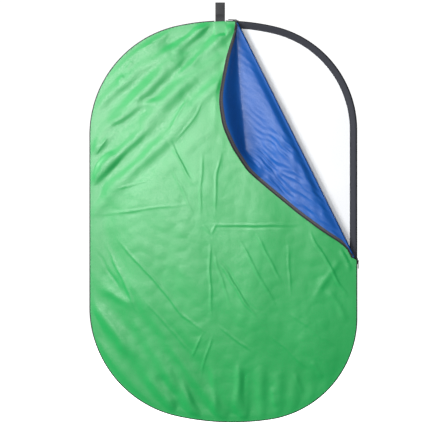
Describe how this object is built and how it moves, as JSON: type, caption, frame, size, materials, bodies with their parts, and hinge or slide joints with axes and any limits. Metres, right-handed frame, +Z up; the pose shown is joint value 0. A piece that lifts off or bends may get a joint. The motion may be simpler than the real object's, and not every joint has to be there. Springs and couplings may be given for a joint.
{
  "type": "collapsible reflector disc",
  "caption": "Oval sprung fabric reflector with a zipped reversible cover, one corner unzipped and folded over, and a hanging loop.",
  "frame": {"origin": "inside of the top of the hanging loop, where a hook carries the weight", "axes": "+Z up along the disc's height, +X to the right, +Y to the back; the opened front faces -Y"},
  "size_m": [1.0052, 0.0558, 1.5674],
  "materials": {
    "spring_steel": "bright rolled spring band",
    "crimped_steel": "plated sheet, crimped",
    "white_cloth": "translucent white nylon",
    "black_ribbon": "matte woven binding",
    "black_webbing": "ribbed webbing",
    "green_cloth": "thin coated polyester with a soft sheen",
    "blue_cloth": "thin coated polyester with a soft sheen",
    "zip_tape": "woven tape",
    "zip_coil": "nylon coil",
    "slider_metal": "satin black enamel",
    "bridge_metal": "satin black enamel",
    "pull_plastic": "moulded"
  },
  "bodies": {
    "disc": {"steel_hoop": "spring_steel", "hoop_splice": "crimped_steel", "splice_rivets": "crimped_steel", "diffuser_cloth": "white_cloth", "rim_binding": "black_ribbon", "strap_anchor": "black_webbing", "front_panel": "green_cloth", "front_lining": "blue_cloth", "back_panel": "green_cloth", "back_lining": "blue_cloth", "zip_tape_front": "zip_tape", "zip_tape_back": "zip_tape", "zip_coil_front": "zip_coil", "zip_coil_back": "zip_coil", "zip_stops": "zip_coil", "panel_fold": "green_cloth", "lining_fold": "blue_cloth"},
    "flap": {"flap_panel": "green_cloth", "flap_lining": "blue_cloth", "flap_zip_tape": "zip_tape", "flap_zip_coil": "zip_coil"},
    "top_slider": {"top_slider": "slider_metal", "top_slider_bridge": "bridge_metal"},
    "top_pull": {"top_pull": "pull_plastic"},
    "side_slider": {"side_slider": "slider_metal", "side_slider_bridge": "bridge_metal"},
    "side_pull": {"side_pull": "pull_plastic"},
    "hang_strap": {"webbing_loop": "black_webbing"}
  },
  "joints": [
    {"name": "corner_fold", "type": "hinge", "parent": "disc", "child": "flap", "pos_m": [0.2901, -0.0126, -0.51082], "axis": [-0.4499, 0, 0.8931], "range_deg": [0, 172], "deforming": ["panel_fold", "lining_fold"]},
    {"name": "top_slider_run", "type": "hinge", "parent": "disc", "child": "top_slider", "pos_m": [0.017, 0, -0.886], "axis": [0, 1, 0], "range_deg": [-0.7, 7.5]},
    {"name": "top_pull_turn", "type": "hinge", "parent": "top_slider", "child": "top_pull", "pos_m": [0.05816, 0, -0.06393], "axis": [0, 1, 0], "range_deg": [0, 170]},
    {"name": "side_slider_run", "type": "slide", "parent": "disc", "child": "side_slider", "axis": [0, 0, 1], "range_m": [-0.17, 0.44]},
    {"name": "side_pull_turn", "type": "hinge", "parent": "side_slider", "child": "side_pull", "pos_m": [0.5151, 0, -0.964], "axis": [0, -1, 0], "range_deg": [0, 170]},
    {"name": "strap_swing", "type": "hinge", "parent": "disc", "child": "hang_strap", "pos_m": [0, 0, -0.061], "axis": [1, 0, 0], "range_deg": [-85, 85]}
  ]
}
